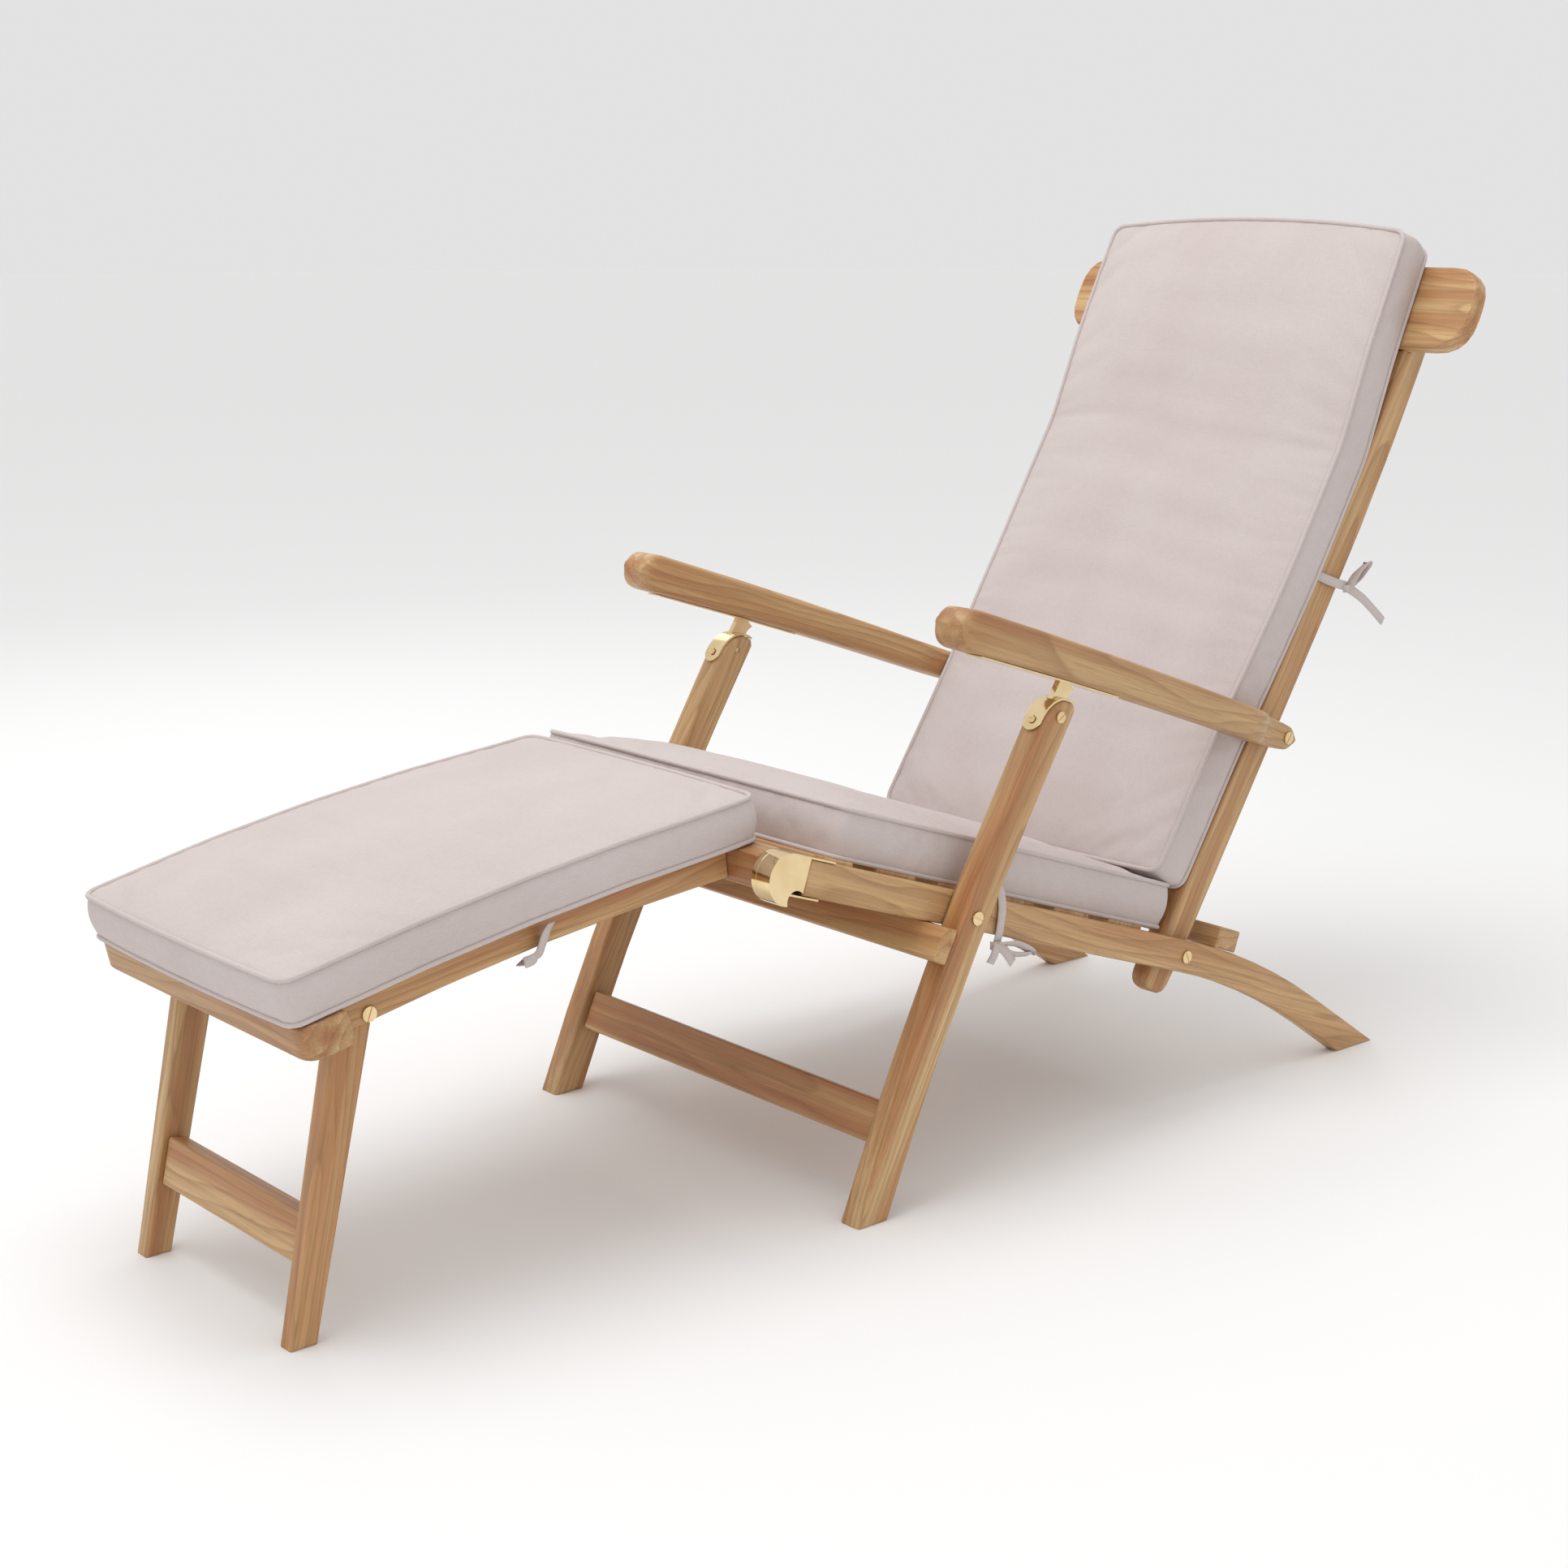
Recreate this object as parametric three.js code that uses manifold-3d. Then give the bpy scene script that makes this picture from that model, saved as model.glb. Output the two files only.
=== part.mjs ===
// Folding deck chair: teak frame, brass fittings and three boxed cushions.
// X runs across the chair (left side +X), Y towards the back, Z up, in millimetres.
// The origin is on the floor, at the middle of the chair's length and width.
import * as THREE from 'three';
import { mergeVertices } from 'three/addons/utils/BufferGeometryUtils.js';
import Module from 'manifold-3d';

const wasm = await Module();
wasm.setup();

// ---------------------------------------------------------------- driving dimensions
const GAP = 0.3;

// Pivots, as (y, z) in the side view.
const LEG_PIVOT = [-26, 297];
const ARM_PIVOT = [90, 491];
const EAR_PIVOT = [487.5, 411];
const BACK_PIVOT = [338.5, 177];
const FOOTREST_PIVOT = [-252, 371];
const FOOT_LEG_PIVOT = [-682, 309];

// Faces across the chair, as distances from the middle plane.
const LEG_OUT = 275.5;
const LEG_IN = 246;
const RAIL_OUT = 245.5;
const RAIL_IN = 225.5;
const STILE_OUT = 225;
const STILE_IN = 201;
const FOOT_RAIL_OUT = 171;
const FOOT_RAIL_IN = 150;
const FOOT_LEG_OUT = 149.5;
const FOOT_LEG_IN = 128.5;
const KNUCKLE_IN = 218.3;
const KNUCKLE_SPLIT = 225.2;
const BEAM_END = 218;
const SEAT_CUSHION_HALF = 224;
const FOOT_CUSHION_HALF = 193;

// Side rails: straight, then a bend down into the rear foot.
const RAIL_SLOPE = radians(18.7);
const RAIL_END_SLOPE = radians(34);
const RAIL_DEPTH = 37;
const RAIL_FRONT_Y = -230;
const BEND_START_Y = 335;
const BEND_LENGTH = 260;

// Front legs: bowed a little, rounded over at the top.
const LEG_DEPTH = 37;
const LEG_FOOT_Y = -166;
const LEG_LEAN = 0.4;
const LEG_BOW = 0.000253;

// Back frame.
const STILE_SLOPE = radians(57.2);
const STILE_DEPTH = 40;
const STILE_PIVOT_OFFSET = 5;
const STILE_BELOW = 50;
const STILE_STRAIGHT = 445;
const STILE_TOP = 858;
const STILE_RADIUS = 3025;
const HEADRAIL_HALF = 307;

// Footrest: rails that arch gently up towards the hinge.
const FOOT_RAIL_DEPTH = 30;
const FOOT_RAIL_BACK = [-268.5, 376];
const FOOT_SLOPE_BACK = radians(4.5);
const FOOT_SLOPE_FRONT = radians(12.5);
const FOOT_RAIL_LENGTH = 449;

const SLAT_THICKNESS = 12;
const SLAT_PROUD = 4;
const CUSHION_THICKNESS = 52;
const FOOT_CUSHION_THICKNESS = 46;

// ---------------------------------------------------------------- materials
const teak = () => new THREE.MeshStandardMaterial({ color: 0xb07a4a, roughness: 0.5, metalness: 0 });
const brass = () => new THREE.MeshStandardMaterial({ color: 0xd9b874, roughness: 0.18, metalness: 1 });
const fabric = () => new THREE.MeshStandardMaterial({ color: 0xc4b9b2, roughness: 0.95, metalness: 0 });

// ---------------------------------------------------------------- geometry helpers
function radians(degrees) {
  return (degrees * Math.PI) / 180;
}

// A point at a distance along a direction and another to its left, in the side view.
function offset([y, z], angle, along, left = 0) {
  return [
    y + along * Math.cos(angle) - left * Math.sin(angle),
    z + along * Math.sin(angle) + left * Math.cos(angle),
  ];
}

// Points of an arc about a centre, both ends included.
function arc(centre, radius, from, to, steps) {
  const points = [];
  for (let i = 0; i <= steps; i += 1) {
    points.push(offset(centre, from + ((to - from) * i) / steps, radius));
  }
  return points;
}

// A side-view outline pushed across the chair from xFrom to xTo, with rounded long edges.
function plank(outline, xFrom, xTo, round = 0) {
  const shape = new THREE.Shape(outline.map(([y, z]) => new THREE.Vector2(y, z)));
  const geometry = new THREE.ExtrudeGeometry(shape, {
    depth: xTo - xFrom - 2 * round,
    bevelEnabled: round > 0,
    bevelSize: round,
    bevelThickness: round,
    bevelOffset: -round,
    bevelSegments: 2,
    steps: 1,
  });
  geometry.translate(0, 0, xFrom + round);
  geometry.applyMatrix4(new THREE.Matrix4().set(0, 0, 1, 0, 1, 0, 0, 0, 0, 1, 0, 0, 0, 0, 0, 1));
  return geometry;
}

// A rectangular bar given by its middle in the side view, its slope, depth along it and thickness.
function bar(middle, slope, depth, thickness, xFrom, xTo, round = 0) {
  const corners = [[-1, -1], [1, -1], [1, 1], [-1, 1]];
  const outline = corners.map(([a, b]) => offset(middle, slope, (a * depth) / 2, (b * thickness) / 2));
  return plank(outline, xFrom, xTo, round);
}

// A disc or rod lying across the chair.
function rod([y, z], radius, xFrom, xTo, sides = 20) {
  const geometry = new THREE.CylinderGeometry(radius, radius, xTo - xFrom, sides);
  geometry.rotateZ(-Math.PI / 2);
  geometry.translate((xFrom + xTo) / 2, y, z);
  return geometry;
}

// The same geometry reflected to the other side of the middle plane.
function mirrored(geometry) {
  const copy = (geometry.index ? geometry.toNonIndexed() : geometry).clone();
  const position = copy.getAttribute('position');
  for (let i = 0; i < position.count; i += 3) {
    const [b, c] = [i + 1, i + 2].map((k) => [position.getX(k), position.getY(k), position.getZ(k)]);
    position.setX(i, -position.getX(i));
    position.setXYZ(i + 1, -c[0], c[1], c[2]);
    position.setXYZ(i + 2, -b[0], b[1], b[2]);
  }
  copy.computeVertexNormals();
  return copy;
}

function toSolid(geometry) {
  const bare = geometry.clone();
  bare.deleteAttribute('normal');
  bare.deleteAttribute('uv');
  const merged = mergeVertices(bare, 1e-4);
  return new wasm.Manifold(new wasm.Mesh({
    numProp: 3,
    vertProperties: new Float32Array(merged.getAttribute('position').array),
    triVerts: new Uint32Array(merged.index.array),
  }));
}

function toGeometry(solid) {
  const mesh = solid.getMesh();
  const geometry = new THREE.BufferGeometry();
  geometry.setAttribute('position', new THREE.BufferAttribute(new Float32Array(mesh.vertProperties), 3));
  geometry.setIndex(new THREE.BufferAttribute(new Uint32Array(mesh.triVerts), 1));
  geometry.computeVertexNormals();
  return geometry;
}

function cut(geometry, ...tools) {
  return toGeometry(tools.reduce((solid, tool) => solid.subtract(toSolid(tool)), toSolid(geometry)));
}

function join(geometry, ...others) {
  return toGeometry(others.reduce((solid, other) => solid.add(toSolid(other)), toSolid(geometry)));
}

function common(geometry, other) {
  return toGeometry(toSolid(geometry).intersect(toSolid(other)));
}

// ---------------------------------------------------------------- assembly helpers
const chair = new THREE.Group();

function add(name, geometry, material) {
  const mesh = new THREE.Mesh(geometry, material);
  mesh.name = name;
  chair.add(mesh);
}

// The left piece as built and the right piece as its reflection.
function addPair(name, geometry, material) {
  add(`${name}_left`, geometry, material());
  add(`${name}_right`, mirrored(geometry), material());
}

const SHANK = 3;
const HOLE = SHANK + GAP;
const HEAD = 7.3;
const SMALL_HEAD = 6.3;

// A slotted screw lying across the chair: head outside xHead, shank inwards to xTip.
function screw(centre, headRadius, slotAngle, xHead, xTip) {
  const headThickness = 2;
  const slotWidth = 1.2;
  const slotDepth = 1.1;
  const head = rod(centre, headRadius, xHead, xHead + headThickness, 24);
  const shank = rod(centre, SHANK, xTip, xHead + 0.5, 12);
  const slotFloor = xHead + headThickness - slotDepth;
  const slot = bar(centre, radians(slotAngle), 3 * headRadius, slotWidth, slotFloor, slotFloor + 2);
  return cut(join(head, shank), slot);
}

// ---------------------------------------------------------------- seat frame
// Middle line of a side rail as [point, slope of the line], front end first.
function railLine() {
  const front = [RAIL_FRONT_Y, BACK_PIVOT[1] + (BACK_PIVOT[0] - RAIL_FRONT_Y) * Math.tan(RAIL_SLOPE)];
  const line = [[front, -RAIL_SLOPE]];
  let point = offset(front, -RAIL_SLOPE, (BEND_START_Y - RAIL_FRONT_Y) / Math.cos(RAIL_SLOPE));
  line.push([point, -RAIL_SLOPE]);
  const steps = 6;
  for (let i = 1; i <= steps; i += 1) {
    const slope = RAIL_SLOPE + ((RAIL_END_SLOPE - RAIL_SLOPE) * (i - 0.5)) / steps;
    point = offset(point, -slope, BEND_LENGTH / steps);
    line.push([point, -(RAIL_SLOPE + ((RAIL_END_SLOPE - RAIL_SLOPE) * i) / steps)]);
  }
  return line;
}

// A point on the rail's straight part: a distance behind its front end, another above its top edge.
function onRailTop(behindFront, above = 0) {
  const [front] = railLine()[0];
  return offset(front, -RAIL_SLOPE, behindFront, RAIL_DEPTH / 2 + above);
}

function buildSideRails() {
  const line = railLine();
  const half = RAIL_DEPTH / 2;
  const top = line.map(([point, slope]) => offset(point, slope, 0, half));
  const bottom = line.map(([point, slope]) => offset(point, slope, 0, -half)).reverse();
  const [last, lastSlope] = line[line.length - 1];
  const topEnd = offset(last, lastSlope, 0, half);
  const bottomEnd = offset(last, lastSlope, 0, -half);
  const toFloor = ([y, z]) => [y + z / Math.tan(RAIL_END_SLOPE), 0];
  const outline = [...top, toFloor(topEnd), toFloor(bottomEnd), ...bottom];
  const rail = plank(outline, RAIL_IN, RAIL_OUT, 3);
  addPair('side_rail', cut(
    rail,
    rod(LEG_PIVOT, HOLE, RAIL_IN - 1, RAIL_OUT + 1, 12),
    rod(BACK_PIVOT, HOLE, RAIL_IN - 1, RAIL_OUT + 1, 12),
  ), teak);
}

// The bar behind the back frame, lying on top of both side rails where they start to bend.
function buildRearCrossRail() {
  const width = 37;
  const thickness = 25;
  const bend = radians(2.5);
  const [start, slope] = railLine()[1];
  const middle = offset(start, slope - bend, 70, RAIL_DEPTH / 2 + 1 + thickness / 2);
  add('rear_cross_rail', bar(middle, slope - bend, width, thickness, -RAIL_OUT, RAIL_OUT, 2), teak());
}

function buildSeatSlats() {
  const slatWidth = 58;
  const pitch = 92;
  const firstMiddle = 48;
  const frontRailThickness = 26;
  const half = RAIL_IN - GAP;
  for (let i = 0; i < 6; i += 1) {
    const thickness = i === 0 ? frontRailThickness : SLAT_THICKNESS;
    const middle = onRailTop(firstMiddle + i * pitch, SLAT_PROUD - thickness / 2);
    const slat = bar(middle, -RAIL_SLOPE, slatWidth, thickness, -half, half, 2);
    add(i === 0 ? 'seat_front_rail' : `seat_slat_${i}`, slat, teak());
  }
}

// Outer half of the hinge: a round cheek, a block against the rail's end and a leaf above and below.
function buildSeatKnuckles() {
  const cheekRadius = 26.5;
  const leafThickness = 2;
  const upperLeaf = 33;
  const lowerLeaf = 22;
  const notchRadius = 11;
  const skin = 2;
  const [front] = railLine()[0];
  const blockLength = 22;
  const blockMiddle = offset(front, -RAIL_SLOPE, -GAP - blockLength / 2);
  const leaf = (side, length) => bar(
    offset(front, -RAIL_SLOPE, (length - blockLength) / 2, side * (RAIL_DEPTH / 2 + GAP + leafThickness / 2)),
    -RAIL_SLOPE, length + blockLength, leafThickness, KNUCKLE_SPLIT + GAP, RAIL_OUT,
  );
  const xFrom = KNUCKLE_SPLIT + GAP;
  const railEnd = bar(offset(front, -RAIL_SLOPE, 30 - GAP), -RAIL_SLOPE, 60, RAIL_DEPTH + 2 * GAP, 0, RAIL_OUT + 5);
  const cheek = cut(rod(FOOTREST_PIVOT, cheekRadius, xFrom, RAIL_OUT, 32), railEnd);
  const height = RAIL_DEPTH + 2 * (GAP + leafThickness);
  const block = bar(blockMiddle, -RAIL_SLOPE, blockLength, height, xFrom, RAIL_OUT);
  const pinHole = rod(FOOTREST_PIVOT, HOLE, xFrom - 1, RAIL_OUT - skin, 12);
  const notch = rod(
    offset(front, -RAIL_SLOPE, -7, -(RAIL_DEPTH / 2 + notchRadius * 0.6)), notchRadius, xFrom - 1, RAIL_OUT + 1, 24,
  );
  const body = cut(join(cheek, block), notch);
  addPair('seat_knuckle', cut(join(body, leaf(1, upperLeaf), leaf(-1, lowerLeaf)), pinHole), brass);
  const pin = rod(FOOTREST_PIVOT, SHANK, KNUCKLE_IN + 1, RAIL_OUT - skin - GAP, 12);
  addPair('hinge_pin', pin, brass);
}

function buildBackPivotScrews() {
  addPair('back_pivot_screw', screw(BACK_PIVOT, HEAD, -68, RAIL_OUT + GAP, STILE_IN + 3), brass);
}

// ---------------------------------------------------------------- front legs
function legMiddle(z) {
  return [LEG_FOOT_Y + LEG_LEAN * z + LEG_BOW * z * z, z];
}

// Direction of the leg's middle line, pointing up.
function legSlope(z) {
  return Math.atan2(1, LEG_LEAN + 2 * LEG_BOW * z);
}

const LEG_TOP_RISE = 20;
const LEG_CROWN_BELOW = 14;
const LEG_CROWN_BEHIND = 9;

// Curve over the front corner of the leg's top, from its front face to its top, moved out by a distance.
function legCrown(out, steps = 7) {
  const slope = legSlope(ARM_PIVOT[1]);
  const points = [];
  for (let i = 0; i <= steps; i += 1) {
    const turn = (Math.PI / 2) * (i / steps);
    const along = -LEG_CROWN_BELOW + (LEG_TOP_RISE + LEG_CROWN_BELOW + out) * Math.sin(turn);
    const left = -LEG_CROWN_BEHIND + (LEG_DEPTH / 2 + LEG_CROWN_BEHIND + out) * Math.cos(turn);
    points.push(offset(ARM_PIVOT, slope, along, left));
  }
  return points;
}

function buildFrontLegs() {
  const half = LEG_DEPTH / 2;
  const steps = 6;
  const front = [];
  const back = [];
  for (let i = 0; i < steps; i += 1) {
    const z = (ARM_PIVOT[1] * i) / steps;
    front.push(offset(legMiddle(z), legSlope(z), 0, half));
    back.push(offset(legMiddle(z), legSlope(z), 0, -half));
  }
  const footHalf = half / Math.sin(legSlope(0));
  front[0] = [LEG_FOOT_Y - footHalf, 0];
  back[0] = [LEG_FOOT_Y + footHalf, 0];
  const slope = legSlope(ARM_PIVOT[1]);
  const rearCorner = [
    offset(ARM_PIVOT, slope, LEG_TOP_RISE - 6, -half),
    offset(ARM_PIVOT, slope, LEG_TOP_RISE, -half + 5),
  ];
  const leg = plank([...back, ...rearCorner, ...legCrown(0).reverse(), ...front.reverse()], LEG_IN, LEG_OUT, 4);
  const middle = (LEG_IN + LEG_OUT) / 2;
  const slotHalf = LUG_THICKNESS / 2 + 2 * GAP;
  const slotMiddle = offset(ARM_PIVOT, slope, 25 - SLOT_BELOW);
  const slot = bar(slotMiddle, slope, 50, 60, middle - slotHalf, middle + slotHalf);
  addPair('front_leg', cut(
    leg,
    slot,
    rod(ARM_PIVOT, HOLE, LEG_IN - 1, LEG_OUT + 1, 12),
    rod(LEG_PIVOT, HOLE, LEG_IN - 1, LEG_OUT + 1, 12),
  ), teak);
}

const LUG_THICKNESS = 7;
const LUG_WIDTH = 20;
const SLOT_BELOW = 14;

function buildLegCrossRails() {
  const stretcherZ = 91;
  const stretcherHalf = LEG_IN - GAP;
  const stretcherMiddle = legMiddle(stretcherZ);
  const stretcher = bar(stretcherMiddle, legSlope(stretcherZ), 44, 22, -stretcherHalf, stretcherHalf, 4);
  add('front_stretcher', stretcher, teak());

  // The stop rail lies on the legs' front faces, its top along the underside of the side rails.
  const z = 273;
  const slope = legSlope(z);
  const thickness = 19;
  const below = 31;
  const face = offset(legMiddle(z), slope, 0, LEG_DEPTH / 2 + 1);
  const undersideAt = (y) => {
    const middle = BACK_PIVOT[1] + (BACK_PIVOT[0] - y) * Math.tan(RAIL_SLOPE);
    return middle - RAIL_DEPTH / 2 / Math.cos(RAIL_SLOPE) - 2 * GAP;
  };
  const topOf = (left) => {
    const start = offset(face, slope, 0, left);
    const rise = Math.sin(slope) + Math.cos(slope) * Math.tan(RAIL_SLOPE);
    return offset(start, slope, (undersideAt(start[0]) - start[1]) / rise);
  };
  const outline = [
    offset(face, slope, -below, thickness),
    offset(face, slope, -below, 0),
    topOf(0),
    topOf(thickness),
  ];
  add('stop_rail', plank(outline, -LEG_OUT, LEG_OUT, 2), teak());
}

// Curved brass strap over the front and top of the leg, forked round the lug.
function buildLegCaps() {
  const thickness = 2.6;
  const slope = legSlope(ARM_PIVOT[1]);
  const half = 12;
  const below = 27;
  const middle = (LEG_IN + LEG_OUT) / 2;
  const strapEnd = offset(ARM_PIVOT, slope, -below);
  const inner = LEG_DEPTH / 2 + 2 * GAP;
  const rear = -LEG_DEPTH / 2 + 4;
  const outline = [
    offset(strapEnd, slope, 0, inner + thickness),
    offset(strapEnd, slope, 0, inner),
    ...legCrown(2 * GAP),
    offset(ARM_PIVOT, slope, LEG_TOP_RISE + 2 * GAP, rear),
    offset(ARM_PIVOT, slope, LEG_TOP_RISE + 2 * GAP + thickness, rear),
    ...legCrown(2 * GAP + thickness).reverse(),
  ].reverse();
  const strap = plank(outline, middle - half, middle + half, 0);
  const forkHalf = LUG_THICKNESS / 2 + 2 * GAP;
  const forkFrom = LUG_WIDTH / 2 + 2 * GAP;
  const fork = bar(
    offset(ARM_PIVOT, slope, LEG_TOP_RISE, forkFrom - 30), slope, 60, 60, middle - forkHalf, middle + forkHalf,
  );
  const tip = new THREE.CylinderGeometry(half, half, 3 * LEG_DEPTH, 24);
  tip.rotateX(slope + Math.PI / 2);
  const tipMiddle = offset(ARM_PIVOT, slope, half - below);
  tip.translate(middle, tipMiddle[0], tipMiddle[1]);
  const above = bar(offset(tipMiddle, slope, 40), slope, 80, 3 * LEG_DEPTH, middle - 2 * half, middle + 2 * half);
  addPair('leg_cap', common(cut(strap, fork), join(tip, above)), brass);

  // Strap screw: a slotted button on the strap, square to the leg's front face.
  const head = new THREE.CylinderGeometry(4.2, 4.8, 2, 16);
  const slot = new THREE.BoxGeometry(12, 1.4, 1.3);
  slot.translate(0, 0.9, 0);
  const button = cut(head, slot);
  button.rotateX(slope + Math.PI / 2);
  const seat = offset(ARM_PIVOT, slope, -15, inner + thickness + 1 + 2 * GAP);
  button.translate(middle, seat[0], seat[1]);
  addPair('strap_screw', button, brass);
}

function buildLegScrews() {
  addPair('leg_pivot_screw', screw(LEG_PIVOT, HEAD, -28, LEG_OUT + GAP, RAIL_IN + 3), brass);
  addPair('arm_pivot_screw', screw(ARM_PIVOT, SMALL_HEAD, 32, LEG_OUT + GAP, LEG_IN + 1), brass);
}

// ---------------------------------------------------------------- arms
const ARM_NOSE_Y = -59;
const ARM_IN = 232;
const ARM_OUT = 281;
const ARM_END_Y = 513;
const EAR_IN = STILE_OUT + 2 * GAP;
const EAR_OUT = 258;

// Middle line of the arm: falls towards the back and curves down a little.
function armMiddle(y) {
  const run = y + 45;
  return [y, 598 - 0.325 * run - 4.98e-5 * run * run];
}

function armSlope(y) {
  return -Math.atan(0.325 + 2 * 4.98e-5 * (y + 45));
}

// Half depth of the arm: deep at the nose, thinner at the back.
function armHalf(y) {
  return 21.5 - (5 * (y - ARM_NOSE_Y)) / (ARM_END_Y - ARM_NOSE_Y);
}

function armEdge(y, side) {
  return offset(armMiddle(y), armSlope(y), 0, side * armHalf(y));
}

function armOutline() {
  const noseCentre = -36;
  const earRadius = 15;
  const stations = [noseCentre, 70, 180, 290, 390, 440];
  const top = stations.map((y) => armEdge(y, 1)).reverse();
  const bottom = stations.map((y) => armEdge(y, -1));
  const slope = armSlope(noseCentre);
  const nose = arc(armMiddle(noseCentre), armHalf(noseCentre), slope + Math.PI / 2, slope + 1.5 * Math.PI, 8);
  const earSlope = armSlope(EAR_PIVOT[0]);
  const ear = arc(EAR_PIVOT, earRadius, earSlope - Math.PI / 2, earSlope + Math.PI / 2, 8);
  return [...bottom, ...ear, ...top, ...nose.slice(1, -1)];
}

// The arm seen from above: rounded nose, straight sides, a thin ear beside the back stile.
function armPlan() {
  const round = 16;
  const shape = new THREE.Shape();
  shape.moveTo(ARM_IN + round, ARM_NOSE_Y);
  shape.lineTo(ARM_OUT - round, ARM_NOSE_Y);
  shape.quadraticCurveTo(ARM_OUT, ARM_NOSE_Y, ARM_OUT, ARM_NOSE_Y + 2 * round);
  shape.lineTo(ARM_OUT, 400);
  shape.bezierCurveTo(ARM_OUT, 440, EAR_OUT, 430, EAR_OUT, 465);
  shape.lineTo(EAR_OUT, ARM_END_Y + 5);
  shape.lineTo(EAR_IN, ARM_END_Y + 5);
  shape.lineTo(EAR_IN, 420);
  shape.lineTo(ARM_IN, 370);
  shape.lineTo(ARM_IN, ARM_NOSE_Y + 2 * round);
  shape.quadraticCurveTo(ARM_IN, ARM_NOSE_Y, ARM_IN + round, ARM_NOSE_Y);
  const plan = new THREE.ExtrudeGeometry(shape, { depth: 700, bevelEnabled: false, curveSegments: 5 });
  return plan;
}

function buildArms() {
  const blank = plank(armOutline(), EAR_IN - 8, ARM_OUT + 8, 0);
  const arm = cut(common(blank, armPlan()), rod(EAR_PIVOT, HOLE, EAR_IN - 5, ARM_OUT, 12));
  addPair('arm', arm, teak);
  addPair('ear_screw', screw(EAR_PIVOT, HEAD, 52, EAR_OUT + GAP, EAR_IN + 1), brass);
}

// Brass plate under the arm with the lug that hangs into the leg's slot.
function buildArmPlates() {
  const middle = (LEG_IN + LEG_OUT) / 2;
  const thickness = 2.4;
  const half = 11;
  const stations = [-15, 50, 110, 190];
  const upper = stations.map((y) => offset(armEdge(y, -1), armSlope(y), 0, -2 * GAP));
  const lower = stations.map((y) => offset(armEdge(y, -1), armSlope(y), 0, -thickness)).reverse();
  const plate = plank([...lower.reverse(), ...upper.reverse()], middle - half, middle + half, 0);
  const slope = legSlope(ARM_PIVOT[1]);
  const root = 41;
  const lugOutline = [
    ...arc(ARM_PIVOT, LUG_WIDTH / 2, slope + Math.PI / 2, slope + 1.5 * Math.PI, 8),
    offset(ARM_PIVOT, slope, root - 12, -LUG_WIDTH / 2),
    offset(ARM_PIVOT, slope, root - 4.5, -LUG_WIDTH / 2 - 4),
    offset(ARM_PIVOT, slope, root + 3, LUG_WIDTH / 2),
  ];
  const lug = plank(lugOutline, middle - LUG_THICKNESS / 2, middle + LUG_THICKNESS / 2, 0);
  const hole = rod(ARM_PIVOT, HOLE, middle - 10, middle + 10, 12);
  const wood = plank(armOutline(), ARM_IN, ARM_OUT, 0);
  wood.translate(0, 0, -GAP);
  addPair('arm_plate', cut(join(plate, lug), hole, wood), brass);
}

// ---------------------------------------------------------------- back frame
// A point of the stile's middle line, by distance up from the pivot, with the slope there.
function stilePoint(up) {
  const foot = offset(BACK_PIVOT, STILE_SLOPE, 0, STILE_PIVOT_OFFSET);
  if (up <= STILE_STRAIGHT) {
    return [offset(foot, STILE_SLOPE, up), STILE_SLOPE];
  }
  const turn = (up - STILE_STRAIGHT) / STILE_RADIUS;
  const start = offset(foot, STILE_SLOPE, STILE_STRAIGHT);
  const chord = 2 * STILE_RADIUS * Math.sin(turn / 2);
  return [offset(start, STILE_SLOPE + turn / 2, chord), STILE_SLOPE + turn];
}

// A point in front of the stile's middle line.
function inFrontOfStile(up, forward) {
  const [point, slope] = stilePoint(up);
  return offset(point, slope, 0, forward);
}

const HEADRAIL_HEIGHT = 100;
const HEADRAIL_THICKNESS = 24;
const HEADRAIL_UP = 813;
const HEADRAIL_FORWARD = 22;

function headrail(extra = 0) {
  const [, slope] = stilePoint(HEADRAIL_UP);
  const middle = inFrontOfStile(HEADRAIL_UP, HEADRAIL_FORWARD);
  const round = 43;
  const height = HEADRAIL_HEIGHT + 2 * extra;
  const half = HEADRAIL_HALF + extra;
  const shape = new THREE.Shape();
  shape.moveTo(-half + round, -height / 2);
  shape.lineTo(half - round, -height / 2);
  shape.quadraticCurveTo(half, -height / 2, half, -height / 2 + round);
  shape.lineTo(half, height / 2 - round);
  shape.quadraticCurveTo(half, height / 2, half - round, height / 2);
  shape.lineTo(-half + round, height / 2);
  shape.quadraticCurveTo(-half, height / 2, -half, height / 2 - round);
  shape.lineTo(-half, -height / 2 + round);
  shape.quadraticCurveTo(-half, -height / 2, -half + round, -height / 2);
  const bevel = extra > 0 ? 0 : 4;
  const geometry = new THREE.ExtrudeGeometry(shape, {
    depth: HEADRAIL_THICKNESS + 2 * extra - 2 * bevel,
    bevelEnabled: bevel > 0,
    bevelSize: bevel,
    bevelThickness: bevel,
    bevelOffset: -bevel,
    bevelSegments: 2,
    curveSegments: 5,
  });
  geometry.translate(0, 0, -(HEADRAIL_THICKNESS + 2 * extra) / 2 + bevel);
  geometry.rotateX(slope);
  geometry.translate(0, middle[0], middle[1]);
  return geometry;
}

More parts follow.
